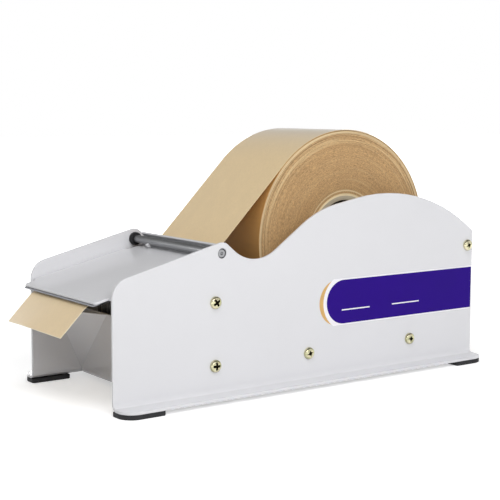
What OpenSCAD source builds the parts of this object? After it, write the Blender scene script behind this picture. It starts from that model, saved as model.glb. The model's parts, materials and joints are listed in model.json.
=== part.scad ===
// Bench dispenser for gummed paper tape. Two folded side plates carry the tape roll on rollers, a water tank
// with a brush, and a hinged pressure plate with a tear blade. X runs from front to rear, Y across and Z up.
// Lengths along X are given from the front edge of the side plates.

/* [Side plates] */
// Length of the side plates
plate_l = 300; // [280:1:380]
// Clear width between the side plates
inner_w = 105; // [100:1:150]
// Sheet thickness of the side plates
sheet_t = 2; // [1.5:0.1:3]
// Reach of the foot flange from the plate's outer face
flange_reach = 15; // [12:0.5:25]
// Inside radius of the fold between plate and flange
fold_r = 2.5; // [1:0.1:4]
// Corner radius of the flange in plan
flange_corner_r = 10; // [2:0.5:12]
// Radius of the upper front corner
front_corner_r = 13; // [6:0.5:18]
// Height at which the upper front corner starts
front_corner_z = 69.8; // [62:0.2:74]
// Radius of the hump around the hinge rod
hump_r = 6.9; // [6:0.1:9]
// Distance from the hinge rod to the lowest point of the dip behind it
dip_back = 26.6; // [22:0.1:34]
// Drop from the hinge rod to the lowest point of the dip
dip_drop = 5.2; // [3:0.1:9]
// Radius of the dip
dip_r = 27; // [15:0.5:27]
// Height of the crown
crown_z = 124.9; // [118:0.1:140]
// Distance of the crown from the rear edge
crown_inset = 86.3; // [76:0.1:96]
// Radius of the crown
crown_r = 137; // [120:1:160]
// Distance from the crown to the middle of the shoulder in front of it
shoulder_ahead = 28.7; // [24:0.1:36]
// Drop from the crown to the top of the shoulder
shoulder_drop = 4.3; // [2:0.1:6]
// Radius of the shoulder
shoulder_r = 75; // [50:1:75]

/* [Hinge rod and cover] */
// Distance of the hinge rod from the front
rod_x = 78.4; // [76:0.1:80]
// Height of the hinge rod
rod_z = 92.4; // [91:0.1:94]
// Diameter of the hinge rod
rod_d = 5.2; // [4:0.1:6]
// Wall of the bushes in which the rod turns
rod_bush_wall = 0.5; // [0.4:0.1:1.2]
// Depth of the rod's and the bushes' ends below the outer faces of the side plates
rod_end_depth = 0.8; // [0:0.1:1.2]
// Flange diameter of the rod bushes
rod_bush_flange_d = 8.8; // [8:0.1:11]
// Flange thickness of the rod bushes
rod_bush_flange_t = 2.4; // [1:0.1:3]
// Sheet thickness of the cover
cover_t = 1.5; // [1:0.1:2]
// Downward slope of the cover towards the front
cover_slope = 12.8; // [11:0.1:14]
// Inside radius of the curl around the rod
curl_r = 4.5; // [4:0.1:5.5]
// Direction in which the curl ends, up from the rear
curl_end = 57; // [20:1:80]
// Reach of the cover's lip in front of the side plates
lip_reach = 8; // [6:0.5:12]
// Inset of the lip and the curl at each side of the cover
lip_inset = 4.4; // [4:0.1:8]
// Corner radius of the cover's lip
lip_corner_r = 2.5; // [1:0.1:5]
// Side clearance of the cover
cover_side_gap = 0.6; // [0.3:0.1:1.5]
// Distance of the rod tabs from the middle
tab_y = 31; // [20:1:38]
// Width of a rod tab
tab_w = 2; // [1.5:0.5:6]

/* [Tear blade] */
// Thickness of the tear blade
blade_t = 1; // [0.6:0.1:1.5]
// Depth of the tear blade from teeth to back edge
blade_depth = 12; // [8:0.5:20]
// Spacing of the teeth
tooth_pitch = 2; // [1.5:0.1:4]
// Length of the teeth, which stand proud of the lip
tooth_l = 1; // [0.5:0.1:1.5]

/* [Tape] */
// Width of the tape
tape_w = 72; // [48:1:76]
// Radius of the full roll
roll_r = 73; // [60:0.5:78]
// Outer radius of the paper core
core_r = 29.4; // [25:0.1:42]
// Wall of the paper core
core_wall = 3.9; // [2:0.1:6]
// Thickness of the pulled-out tape
web_t = 0.4; // [0.2:0.05:0.6]
// Direction in which the outer layer ends on the roll
wrap_end = -35; // [-45:1:60]
// Distance behind the teeth at which the tape starts to bend down
tail_bend_back = 6; // [0:0.5:10]
// Radius of that bend
tail_bend_r = 14; // [8:0.5:24]
// Slope of the free end of the tape
tail_slope = 44; // [25:1:55]
// Straight length of the free end
tail_l = 22; // [10:0.5:35]

/* [Rollers] */
// Distance of the rear roller from the rear edge
rear_roller_inset = 61.5; // [58:0.1:66]
// Distance between the two rollers
roller_pitch = 90.7; // [80:0.1:100]
// Height of the rollers
roller_z = 21.5; // [20:0.1:26]
// Radius of the rollers
roller_r = 12.5; // [10:0.1:14]
// Wall of the roller tubes
roller_wall = 1.5; // [1:0.1:2.5]
// Radius of the roller shafts
shaft_r = 4; // [3.5:0.1:6]
// Depth of the screw holes in shafts and tie bar
tapped_depth = 12; // [10:0.5:20]
// Flange thickness of the roller bushes
bush_flange_t = 1.8; // [1:0.1:3]
// Length of the bush inside the tube
bush_l = 10; // [6:0.5:16]
// Distance of the tie bar from the rear edge
tie_bar_inset = 5.7; // [5.5:0.1:12]
// Distance of the tie bar below the top of the rear edge
tie_bar_drop = 10; // [9:0.1:24]
// Radius of the tie bar
tie_bar_r = 5; // [4:0.1:5.4]

/* [Water tank] */
// Distance of the cradle's front wall from the front
cradle_x = 36; // [32:0.5:38]
// Length of the cradle from wall to wall, outside
cradle_l = 50; // [47:0.5:54]
// Height of the cradle's front wall above the table
cradle_front_z = 48.2; // [44:0.1:50]
// Height of the cradle's rear wall above the table
cradle_rear_z = 70; // [68:0.5:72]
// Sheet thickness of the cradle
cradle_t = 1.5; // [1:0.1:2]
// Inside bend radius of the cradle
cradle_bend_r = 1.5; // [1:0.1:2.5]
// Length of the cradle's side tabs
cradle_tab_l = 22; // [20:0.5:24]
// Distance of the cradle's screws from the front
cradle_screw_x = 73; // [72:0.1:74]
// Height of the lower cradle screws
cradle_screw_low_z = 21.9; // [18:0.1:26]
// Height of the upper cradle screws
cradle_screw_high_z = 62.1; // [56:0.1:64]
// Height of the water tank
tank_h = 38; // [30:0.5:40]
// Wall of the water tank
tank_wall = 1.8; // [1.2:0.1:2.5]
// Height of the brush block
block_h = 12; // [8:0.5:16]
// Clearance between the brush and the rounded ends of the tank's floor
brush_side_gap = 0.5; // [0.3:0.1:8]
// Distance between the brush and the front wall of the tank
brush_front_gap = 1.8; // [1.6:0.1:7]
// Rim of the brush block around its bristles
brush_rim = 1; // [0.6:0.1:3]
// Number of bristle rows
bristle_rows = 5; // [3:1:6]
// Spacing of the bristle rows
row_pitch = 5; // [4:0.1:5.2]
// Thickness of a bristle row
row_t = 2.4; // [1.5:0.1:3]
// Spacing of the tufts in a row
tuft_pitch = 3.9; // [3:0.1:6]
// Gap between the tufts of a row
tuft_gap = 1.2; // [0.6:0.1:1.8]

/* [Corner gussets] */
// Reach of a gusset along the side plate
gusset_x = 18.5; // [6:0.1:20]
// Reach of a gusset along the front wall
gusset_y = 36; // [12:0.1:37]
// Height of a gusset's top
gusset_top_z = 48; // [24:0.1:48]
// Height of a gusset's lowest point
gusset_low_z = 6.3; // [5:0.1:12]
// Sheet thickness of a gusset
gusset_t = 1.5; // [1:0.1:2]

/* [Feet and fasteners] */
// Thickness of the rubber feet
foot_h = 3; // [2:0.1:6]
// Length of the rubber feet
foot_l = 28; // [22:0.5:40]
// Radius of the screws
screw_r = 2; // [1.5:0.1:2.5]
// Radius of the screw heads
head_r = 4; // [3.5:0.1:4.4]
// Height of the screw heads
head_h = 2.5; // [2:0.1:3]
// Length of the screws below the head
screw_l = 8; // [7.5:0.1:9]
// Width of the nuts across their flats
nut_width = 7; // [6.5:0.1:8]
// Thickness of the nuts
nut_t = 3.2; // [2:0.1:3.6]

/* [Hidden] */
$fn = 64;
// Clearances
slip = 0.05;        // radial clearance of what turns on a shaft or rod
hole_gap = 0.2;     // radial clearance of a screw in a plate
part_gap = 0.3;     // clearance between pieces that move past each other
end_gap = 0.4;      // clearance at each end of a roller
blade_gap = 0.45;   // clearance between the blade and the tape under it
past = 1;           // how far a cut runs past the face it opens
arc_step = 4;       // degrees between the points of an arc
foot_inner_r = 2;   // radius of a foot's inner corners
recess_w = 1;       // width of a screw's cross recess
recess_l = 4.6;     // length of its arms
recess_depth = 1.4;
rod_dimple_d = 2;   // centre mark in the rod's ends
tab_arc = [-150, -95];  // directions between which a rod tab fills the gap under the rod
root_h = 3;         // height of the closed root of a bristle row
bush_step = 1;      // how far the flange of a roller bush stays below the roller's surface
dome_ratio = 1.2;   // radius of a screw head's dome over the head's own radius

// Curves of the plate's upper edge. A curve is no larger than leaves a straight stretch beside its neighbour.
dip_z = rod_z - dip_drop;
dip_fit_r = min(dip_r, largest(dip_back, hump_r + dip_drop) - hump_r);
crown_x = plate_l - crown_inset;
shoulder_x = crown_x - shoulder_ahead;
shoulder_z = crown_z - shoulder_drop;
shoulder_fit_r = min(shoulder_r, largest(shoulder_x - rod_x - dip_back, shoulder_z - dip_z) - dip_fit_r);
crown_fit_r = min(crown_r, shoulder_fit_r + largest(shoulder_ahead, shoulder_drop));
edge_chain = [[front_corner_r, front_corner_z, front_corner_r], [rod_x, rod_z, hump_r],
    [rod_x + dip_back, dip_z + dip_fit_r, -dip_fit_r],
    [shoulder_x, shoulder_z - shoulder_fit_r, shoulder_fit_r], [crown_x, crown_z - crown_fit_r, crown_fit_r]];
rear_z = crown_z - crown_fit_r + sqrt(pow(crown_fit_r, 2) - pow(crown_inset, 2));
tie_bar_z = rear_z - tie_bar_drop;

half_w = inner_w / 2;
outer_w = inner_w + 2 * sheet_t;
rod = [rod_x, rod_z];
hole_r = screw_r + hole_gap;
rod_bush_r = rod_d / 2 + slip + rod_bush_wall;
rear_roller_x = plate_l - rear_roller_inset;
front_roller_x = rear_roller_x - roller_pitch;
tie_bar_x = plate_l - tie_bar_inset;
roll_x = front_roller_x + roller_pitch / 2;
roll_z = roller_z + sqrt(pow(roll_r + part_gap + roller_r, 2) - pow(roller_pitch / 2, 2));
roll = [roll_x, roll_z];
roller_l = inner_w - 2 * (end_gap + bush_flange_t);
// The cover is drawn level with the rod at the origin, then turned by its slope
cover_flat = -(curl_r + cover_t);
cover_l = (rod_x + lip_reach + curl_r * sin(cover_slope)) / cos(cover_slope);
cover_half_w = half_w - cover_side_gap;
curl_reach = curl_r + cover_t + past;
lip_half_w = cover_half_w - lip_inset;
lip_start = rod_x / cos(cover_slope);
blade_half_w = lip_half_w - lip_corner_r / 2;

// Turns a point [x, z] about the rod by the cover's slope
function sloped(p) = rod + [p.x * cos(cover_slope) - p.y * sin(cover_slope),
    p.x * sin(cover_slope) + p.y * cos(cover_slope)];
// Points of an arc about c, where the radius is negative on the far side of c
function arc(c, r, from, to) = let (n = max(1, ceil(abs(to - from) / arc_step)))
    [for (i = [0 : n]) let (a = from + (to - from) * i / n) [c.x, c.y] + r * [cos(a), sin(a)]];
// Direction of the normal of the line that touches circle a and then circle b, both [x, z, radius]. A circle
// with a positive radius lies below the line, and one with a negative radius above it.
function touch(a, b) = let (d = [b.x - a.x, b.y - a.y])
    atan2(d.y, d.x) + acos((a[2] - b[2]) / norm(d));
// The line that winds along a chain of circles, moved by d along its normal
function winding(chain, d, from, to) = [for (i = [0 : len(chain) - 1])
    let (n0 = i == 0 ? from : touch(chain[i - 1], chain[i]),
        n1 = i == len(chain) - 1 ? to : touch(chain[i], chain[i + 1]))
    each arc(chain[i], chain[i][2] + d, n0, n1)];
// Largest difference or sum of two radii at which curves dx apart, with tops dz apart, still share a tangent
function largest(dx, dz) = 0.97 * (dx * dx + dz * dz) / (2 * dz);
function reversed(list) = [for (i = [len(list) - 1 : -1 : 0]) list[i]];
// Outline of a bent sheet of thickness t along a chain of circles
function bent_sheet(chain, t, from, to) =
    concat(winding(chain, t, from, to), reversed(winding(chain, 0, from, to)));

// Circles that the tape touches, with the radii of its lower side
tail_bend_drop = blade_t + blade_gap + web_t + tail_bend_r;
tail_bend = concat(sloped([tail_bend_back - tooth_l - cover_l, cover_flat - tail_bend_drop]), [tail_bend_r]);
web_at_rod = [rod_x, rod_z, cover_flat - part_gap - web_t];
web_at_roll = [roll_x, roll_z, roll_r + part_gap];
web_normal = touch(tail_bend, web_at_rod);
tail_start = [tail_bend.x, tail_bend.y] + tail_bend_r * [-sin(tail_slope), cos(tail_slope)]
    - tail_l * [cos(tail_slope), sin(tail_slope)];
tape_chain = [[tail_start.x, tail_start.y, 0], tail_bend, web_at_rod, web_at_roll];
// Front-most point of the tape, which sets the middle of the whole length
tail_tip_x = tail_start.x - web_t * sin(tail_slope);
middle_x = (plate_l + tail_tip_x) / 2;
// Height of the tape's lower side above a point between the rod and the blade
function web_under(x) = rod_z + (web_at_rod[2] - (x - rod_x) * cos(web_normal)) / sin(web_normal);

// Places and sizes in the water tank
cradle_rear_x = cradle_x + cradle_l;
tank_front_x = cradle_x + cradle_t + part_gap;
tank_rear_x = cradle_rear_x - cradle_t - part_gap;
tank_z = foot_h + cradle_t;
tank_half_w = half_w + sheet_t - screw_l - part_gap;
tank_r = cradle_bend_r + tank_wall;
brush_l = (bristle_rows - 1) * row_pitch + row_t + 2 * brush_rim;
brush_w = 2 * (tank_half_w - tank_r - brush_side_gap);
brush_front_x = tank_front_x + tank_wall + brush_front_gap;
block_top_z = tank_z + tank_wall + block_h;

// Puts the origin on the table under the middle of the whole length
module placed() {
    translate([-middle_x, 0, 0]) children();
}
// Carries an outline in X and Z across the width w
module across(w) {
    rotate([90, 0, 0]) linear_extrude(w, center = true) children();
}
// A round bar or hole across the width, with its middle at y
module bar(x, z, r, l, y = 0) {
    translate([x, y, z]) rotate([90, 0, 0]) cylinder(r = r, h = l, center = true);
}
// A copy on each side of the middle plane
module both_sides() {
    children();
    mirror([0, 1, 0]) children();
}

module plate_outline() {
    polygon(concat([[0, foot_h]], winding(edge_chain, 0, 180, acos(crown_inset / crown_fit_r)),
        [[plate_l, foot_h]]));
}
// The folded section in Y and Z, drawn for the left side
module plate_section() {
    outer_r = fold_r + sheet_t;
    c = [half_w + outer_r, foot_h + outer_r];
    polygon(concat([[half_w, crown_z + past]], arc(c, outer_r, 180, 270),
        [[half_w + sheet_t + flange_reach, foot_h], [half_w + sheet_t + flange_reach, foot_h + sheet_t]],
        arc(c, fold_r, 270, 180), [[half_w + sheet_t, crown_z + past]]));
}
// Plan of the plate, with the flange's outer corners rounded
module plate_plan() {
    edge = half_w + sheet_t + flange_reach;
    polygon(concat([[0, 0], [plate_l, 0]], arc([plate_l - flange_corner_r, edge - flange_corner_r],
        flange_corner_r, 0, 90), arc([flange_corner_r, edge - flange_corner_r], flange_corner_r, 90, 180)));
}
module folded_plate() {
    difference() {
        intersection() {
            rotate([90, 0, 90]) linear_extrude(plate_l) plate_section();
            across(2 * (outer_w + flange_reach)) plate_outline();
            linear_extrude(crown_z + past) plate_plan();
        }
        bar(rod_x, rod_z, rod_bush_r, outer_w + 2 * past);
        for (p = [for (z = [cradle_screw_low_z, cradle_screw_high_z]) [cradle_screw_x, z]])
            bar(p.x, p.y, hole_r, outer_w + 2 * past);
        for (x = [front_roller_x, rear_roller_x]) bar(x, roller_z, hole_r, outer_w + 2 * past);
        bar(tie_bar_x, tie_bar_z, hole_r, outer_w + 2 * past);
    }
}
module left_side_plate() {
    color("white") placed() folded_plate();
}
module right_side_plate() {
    color("white") placed() mirror([0, 1, 0]) folded_plate();
}

module tank_cradle() {
    bend = cradle_bend_r + cradle_t;
    low = foot_h + bend;
    // The walls' tops are points of the chain, and the two bends are circles on its inner side
    chain = [[cradle_x, cradle_front_z, 0], [cradle_x + bend, low, -bend], [cradle_rear_x - bend, low, -bend],
        [cradle_rear_x, cradle_rear_z, 0]];
    color("gainsboro") placed() difference() {
        union() {
            across(inner_w - 2 * part_gap) polygon(bent_sheet(chain, cradle_t, 0, 180));
            both_sides() translate([cradle_rear_x - cradle_tab_l, half_w - cradle_t, low + cradle_t])
                cube([cradle_tab_l, cradle_t, cradle_rear_z - low - cradle_t]);
        }
        for (z = [cradle_screw_low_z, cradle_screw_high_z])
            bar(cradle_screw_x, z, hole_r, inner_w + 2 * past);
    }
}

// The corner between plate, front wall and a gusset's sloping face. The share k insets that face, and d moves
// the other three faces out.
module gusset_corner(k, d) {
    c = [cradle_x, half_w, gusset_top_z] + [d, d, d];
    reach = [gusset_x, gusset_y, gusset_top_z - gusset_low_z];
    grown = 1 - k + d / reach.x + d / reach.y + d / reach.z;
    polyhedron(
        points = [c, c - [grown * reach.x, 0, 0], c - [0, grown * reach.y, 0], c - [0, 0, grown * reach.z]],
        faces = [[1, 2, 3], [0, 1, 3], [0, 3, 2], [0, 2, 1]]);
}
// A corner brace: a three-cornered sheet that slopes from its top edge down to the corner of plate and wall
module corner_gusset() {
    reach = [gusset_x, gusset_y, gusset_top_z - gusset_low_z];
    depth = 1 / norm([1 / reach.x, 1 / reach.y, 1 / reach.z]);
    difference() {
        gusset_corner(0, 0);
        gusset_corner(gusset_t / depth, past);
    }
}
module left_corner_gusset() {
    color("lightgray") placed() corner_gusset();
}
module right_corner_gusset() {
    color("lightgray") placed() mirror([0, 1, 0]) corner_gusset();
}

// An upright section of length l and height h with both lower corners rounded, around the middle
module trough_section(l, h, r) {
    translate([-l / 2, r]) square([l, h - r]);
    translate([r - l / 2, 0]) square([l - 2 * r, h]);
    for (x = [r - l / 2, l / 2 - r]) translate([x, r]) circle(r);
}
// A block with its four lower edges rounded
module trough(l, w, h, r) {
    intersection() {
        across(w) trough_section(l, h, r);
        rotate([90, 0, 90]) linear_extrude(l, center = true) trough_section(w, h, r);
    }
}
module water_tank() {
    l = tank_rear_x - tank_front_x;
    color("dimgray") placed() translate([tank_front_x + l / 2, 0, tank_z]) difference() {
        trough(l, 2 * tank_half_w, tank_h, tank_r);
        translate([0, 0, tank_wall])
            trough(l - 2 * tank_wall, 2 * (tank_half_w - tank_wall), tank_h, tank_r - tank_wall);
    }
}
module brush_block() {
    color("black") placed() translate([brush_front_x, -brush_w / 2, tank_z + tank_wall])
        cube([brush_l, brush_w, block_h]);
}
// One row of tufts with its rooted strip, up to just below the tape
module bristle_row(x, top) {
    count = floor((brush_w - 2 * brush_rim + tuft_gap) / tuft_pitch);
    tuft = tuft_pitch - tuft_gap;
    span = count * tuft_pitch - tuft_gap;
    teeth = [for (i = [0 : count - 1]) let (y = -span / 2 + i * tuft_pitch)
        each [[y, block_top_z + root_h], [y, top], [y + tuft, top], [y + tuft, block_top_z + root_h]]];
    translate([x, 0, 0]) rotate([90, 0, 90]) linear_extrude(row_t)
        polygon(concat([[-span / 2, block_top_z]], teeth, [[span / 2, block_top_z]]));
}
module brush_bristles() {
    color([0.1, 0.1, 0.1]) placed() for (i = [0 : bristle_rows - 1])
        let (x = brush_front_x + brush_rim + i * row_pitch) bristle_row(x, web_under(x) - part_gap);
}

// The cover's outline in plan, drawn level: lip, body and curl
module cover_plan() {
    lip = lip_half_w;
    polygon(concat(
        arc([-cover_l + lip_corner_r, lip - lip_corner_r], lip_corner_r, 180, 90),
        [[-lip_start, lip], [-lip_start, cover_half_w], [-rod_bush_flange_d, cover_half_w],
            [-rod_bush_flange_d, lip], [curl_reach, lip], [curl_reach, -lip], [-rod_bush_flange_d, -lip],
            [-rod_bush_flange_d, -cover_half_w], [-lip_start, -cover_half_w], [-lip_start, -lip]],
        arc([-cover_l + lip_corner_r, -lip + lip_corner_r], lip_corner_r, 270, 180)));
}
module on_slope() {
    placed() translate([rod_x, 0, rod_z]) rotate([0, -cover_slope, 0]) children();
}
module cover_plate() {
    chain = [[-cover_l, cover_flat, 0], [0, 0, cover_flat]];
    color("white") on_slope() intersection() {
        across(inner_w) polygon(bent_sheet(chain, cover_t, 90, 180 + curl_end - cover_slope));
        linear_extrude(2 * curl_reach, center = true) cover_plan();
    }
}
module tear_blade() {
    count = floor(2 * blade_half_w / tooth_pitch);
    span = count * tooth_pitch;
    front = -(cover_l + tooth_l);
    teeth = [for (i = [0 : count - 1]) let (y = -span / 2 + i * tooth_pitch)
        each [[front + tooth_l, y], [front, y + tooth_pitch / 2]]];
    color("dimgray") on_slope() translate([0, 0, cover_flat - blade_t]) linear_extrude(blade_t)
        polygon(concat([[front + blade_depth, -span / 2]], teeth,
            [[front + tooth_l, span / 2], [front + blade_depth, span / 2]]));
}
module hinge_rod() {
    color("silver") placed() difference() {
        bar(rod_x, rod_z, rod_d / 2, outer_w - 2 * rod_end_depth);
        both_sides() translate([rod_x, outer_w / 2 - rod_end_depth, rod_z]) sphere(d = rod_dimple_d);
    }
}
// Spacers that join the cover to the rod
module rod_tabs() {
    outline = concat(arc([0, 0], rod_d / 2, tab_arc[0], tab_arc[1]),
        arc([0, 0], curl_r, tab_arc[1], tab_arc[0]));
    color("white") placed() for (y = [-tab_y, tab_y])
        translate([rod_x, y, rod_z]) across(tab_w) polygon(outline);
}
module rod_bushes() {
    color("black") placed() both_sides() difference() {
        union() {
            bar(rod_x, rod_z, rod_bush_r, sheet_t - rod_end_depth, half_w + (sheet_t - rod_end_depth) / 2);
            bar(rod_x, rod_z, rod_bush_flange_d / 2, rod_bush_flange_t, half_w - rod_bush_flange_t / 2);
        }
        bar(rod_x, rod_z, rod_d / 2 + slip, outer_w + 2 * past);
    }
}

// A bar between the plates with a screw hole in each end
module cross_bar(x, z, r) {
    difference() {
        bar(x, z, r, inner_w);
        both_sides() bar(x, z, screw_r + slip, 2 * tapped_depth, half_w);
    }
}
module front_roller_shaft() {
    color("silver") placed() cross_bar(front_roller_x, roller_z, shaft_r);
}
module rear_roller_shaft() {
    color("silver") placed() cross_bar(rear_roller_x, roller_z, shaft_r);
}
module tie_bar() {
    color("silver") placed() cross_bar(tie_bar_x, tie_bar_z, tie_bar_r);
}
module roller_tube(x) {
    difference() {
        bar(x, roller_z, roller_r, roller_l);
        bar(x, roller_z, roller_r - roller_wall, roller_l + 2 * past);
    }
}
module roller_bushes(x) {
    both_sides() difference() {
        union() {
            bar(x, roller_z, roller_r - bush_step, bush_flange_t, (roller_l + bush_flange_t) / 2);
            bar(x, roller_z, roller_r - roller_wall - slip, bush_l, (roller_l - bush_l) / 2);
        }
        bar(x, roller_z, shaft_r + slip, inner_w);
    }
}
module front_roller() {
    color("lightgray") placed() roller_tube(front_roller_x);
}
module rear_roller() {
    color("lightgray") placed() roller_tube(rear_roller_x);
}
module front_roller_bushes() {
    color("ivory") placed() roller_bushes(front_roller_x);
}
module rear_roller_bushes() {
    color("ivory") placed() roller_bushes(rear_roller_x);
}

// Pan-head screw with a cross recess, along +Y with the underside of its head at y = 0
module screw() {
    dome_r = dome_ratio * head_r;
    rotate([90, 0, 0]) difference() {
        union() {
            translate([0, 0, -screw_l]) cylinder(r = screw_r, h = screw_l);
            intersection() {
                cylinder(r = head_r, h = head_h);
                translate([0, 0, head_h - dome_r]) sphere(r = dome_r);
            }
        }
        for (a = [0, 90]) rotate([0, 0, a]) translate([0, 0, head_h])
            cube([recess_l, recess_w, 2 * recess_depth], center = true);
    }
}
// A screw at [x, z] in each side plate
module screws(places) {
    for (p = places) both_sides() translate([p.x, -outer_w / 2, p.y]) screw();
}
cradle_places = [[cradle_screw_x, cradle_screw_low_z], [cradle_screw_x, cradle_screw_high_z]];
module cradle_screws() {
    color("khaki") placed() screws(cradle_places);
}
module roller_screws() {
    color("khaki") placed() screws([[front_roller_x, roller_z], [rear_roller_x, roller_z]]);
}
module tie_bar_screws() {
    color("khaki") placed() screws([[tie_bar_x, tie_bar_z]]);
}
module cradle_nuts() {
    color("khaki") placed() for (p = cradle_places) both_sides()
        translate([p.x, half_w - cradle_t, p.y]) rotate([90, 0, 0]) difference() {
            cylinder(d = nut_width / cos(30), h = nut_t, $fn = 6);
            translate([0, 0, -past]) cylinder(r = screw_r + slip, h = nut_t + 2 * past);
        }
}

// A pad under one end of a flange; the flange's corner is at the origin of the plan
module foot() {
    w = sheet_t + flange_reach;
    linear_extrude(foot_h) polygon(concat(
        arc([flange_corner_r, w - flange_corner_r], flange_corner_r, 90, 180),
        arc([foot_inner_r, foot_inner_r], foot_inner_r, 180, 270),
        arc([foot_l - foot_inner_r, foot_inner_r], foot_inner_r, 270, 360),
        arc([foot_l - foot_inner_r, w - foot_inner_r], foot_inner_r, 0, 90)));
}
module front_foot() {
    placed() translate([0, half_w, 0]) foot();
}
module rear_foot() {
    placed() translate([plate_l, half_w, 0]) mirror([1, 0, 0]) foot();
}
module front_left_foot() {
    color("black") front_foot();
}
module front_right_foot() {
    color("black") mirror([0, 1, 0]) front_foot();
}
module rear_left_foot() {
    color("black") rear_foot();
}
module rear_right_foot() {
    color("black") mirror([0, 1, 0]) rear_foot();
}

module tape_roll() {
    color("tan") placed() difference() {
        bar(roll_x, roll_z, roll_r, tape_w);
        bar(roll_x, roll_z, core_r, tape_w + 2 * past);
    }
}
module tape_core() {
    color("gray") placed() difference() {
        bar(roll_x, roll_z, core_r, tape_w);
        bar(roll_x, roll_z, core_r - core_wall, tape_w + 2 * past);
    }
}
module tape_web() {
    color("burlywood") placed() across(tape_w)
        polygon(bent_sheet(tape_chain, web_t, 90 + tail_slope, wrap_end));
}

right_side_plate();
left_side_plate();
tank_cradle();
right_corner_gusset();
left_corner_gusset();
water_tank();
brush_block();
brush_bristles();
cover_plate();
tear_blade();
hinge_rod();
rod_tabs();
rod_bushes();
front_roller_shaft();
rear_roller_shaft();
front_roller();
rear_roller();
front_roller_bushes();
rear_roller_bushes();
tie_bar();
cradle_screws();
cradle_nuts();
roller_screws();
tie_bar_screws();
front_right_foot();
front_left_foot();
rear_right_foot();
rear_left_foot();
tape_roll();
tape_core();
tape_web();
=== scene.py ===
"""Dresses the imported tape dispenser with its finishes, paper, bristles and screws, in a plain studio."""

import json
import math

import bmesh
import bpy
import numpy as np
from bpy.props import FloatProperty, FloatVectorProperty, IntProperty, PointerProperty
from mathutils import Matrix, Vector

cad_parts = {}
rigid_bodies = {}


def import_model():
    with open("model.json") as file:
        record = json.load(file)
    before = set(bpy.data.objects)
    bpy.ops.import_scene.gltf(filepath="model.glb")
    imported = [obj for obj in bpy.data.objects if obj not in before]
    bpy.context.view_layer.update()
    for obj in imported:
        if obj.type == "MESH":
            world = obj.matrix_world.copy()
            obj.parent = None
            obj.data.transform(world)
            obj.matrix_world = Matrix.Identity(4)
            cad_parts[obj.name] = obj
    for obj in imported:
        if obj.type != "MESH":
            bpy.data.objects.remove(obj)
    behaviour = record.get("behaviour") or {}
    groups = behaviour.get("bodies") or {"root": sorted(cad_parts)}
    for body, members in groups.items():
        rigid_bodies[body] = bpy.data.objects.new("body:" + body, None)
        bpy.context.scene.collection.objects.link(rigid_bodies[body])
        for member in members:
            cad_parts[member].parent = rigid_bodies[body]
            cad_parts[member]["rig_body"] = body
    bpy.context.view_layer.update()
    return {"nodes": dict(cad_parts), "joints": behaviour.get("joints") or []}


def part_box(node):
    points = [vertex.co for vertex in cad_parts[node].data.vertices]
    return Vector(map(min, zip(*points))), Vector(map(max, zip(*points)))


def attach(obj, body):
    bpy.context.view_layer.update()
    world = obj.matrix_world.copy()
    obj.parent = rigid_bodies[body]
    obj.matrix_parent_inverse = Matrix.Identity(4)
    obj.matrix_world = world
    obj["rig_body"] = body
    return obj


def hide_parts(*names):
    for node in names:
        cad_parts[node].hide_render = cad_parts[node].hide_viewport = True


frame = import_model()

bl_info = {
    "name": "Gummed Tape Dispenser",
    "version": (1, 0, 0),
    "blender": (4, 5, 0),
    "location": "3D View > Sidebar > Dispenser",
    "description": "Surfaces, paper, bristles and studio for a bench dispenser of gummed tape",
    "category": "Object",
}

MM = 0.001
WELD = 1e-6  # points nearer than this, in metres, are one point
CREASE = 35  # degrees, above which an edge stays sharp or is eased
AXES = {joint["name"]: Vector(joint["pos_m"]) for joint in frame["joints"]}


def linear(code):
    """Linear red, green, blue and alpha of an sRGB hex colour."""
    srgb = np.array([int(code[i : i + 2], 16) for i in (1, 3, 5)]) / 255
    rgb = np.where(srgb <= 0.04045, srgb / 12.92, ((srgb + 0.055) / 1.055) ** 2.4)
    return (*rgb.tolist(), 1.0)


def colour(name, description, code):
    """A colour property with the given sRGB hex default."""
    return FloatVectorProperty(
        name=name, description=description, default=linear(code), size=4, min=0, max=1, subtype="COLOR"
    )


def length(name, description, millimetres, most):
    """A length property with a default in millimetres."""
    return FloatProperty(
        name=name,
        description=description,
        default=millimetres * MM,
        min=0,
        max=most * MM,
        precision=5,
        subtype="DISTANCE",
        unit="LENGTH",
    )


class DispenserSizes(bpy.types.PropertyGroup):
    """Sizes that only the looks need; the rest comes from the frame."""

    sheet_edge: length("Sheet edge", "Radius on the enamelled edges of the sheet metal", 0.35, 1)
    moulded_edge: length("Moulded edge", "Radius on the edges of rubber and plastic pieces", 0.5, 1)
    steel_edge: length("Steel edge", "Radius on the edges of turned and ground steel", 0.15, 0.5)
    blade_edge: length("Blade edge", "Radius on the edges of the tear blade", 0.06, 0.2)
    head_d: length("Screw head", "Diameter of a screw head", 8, 12)
    head_h: length("Screw head height", "Height of a screw head", 2.5, 4)
    shank_d: length("Screw shank", "Diameter of a screw below its head", 4, 6)
    recess_l: length("Screw recess", "Length of the cross recess across the head", 5.2, 8)
    recess_w: length("Recess width", "Width of an arm of the cross recess", 1.3, 2)
    web_t: length("Tape thickness", "Thickness of the pulled-out tape", 0.3, 0.6)
    tail_curl: length("Tail curl", "Height of the curl across the free end of the tape", 0.5, 3)
    hair_d: length("Bristle", "Diameter of one bristle", 0.35, 1)
    hairs: IntProperty(name="Bristles", description="Bristles in each tuft", default=14, min=4, max=40)
    label_t: length("Label", "Thickness of the printed film on the right side plate", 0.12, 0.5)
    label_h: length("Label height", "Height of the purple field of the label", 29.7, 40)
    label_l: length("Label length", "Length of the purple field of the label", 136, 150)
    label_z: length("Label middle", "Height of the middle of the label above the table", 53.25, 80)


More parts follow.
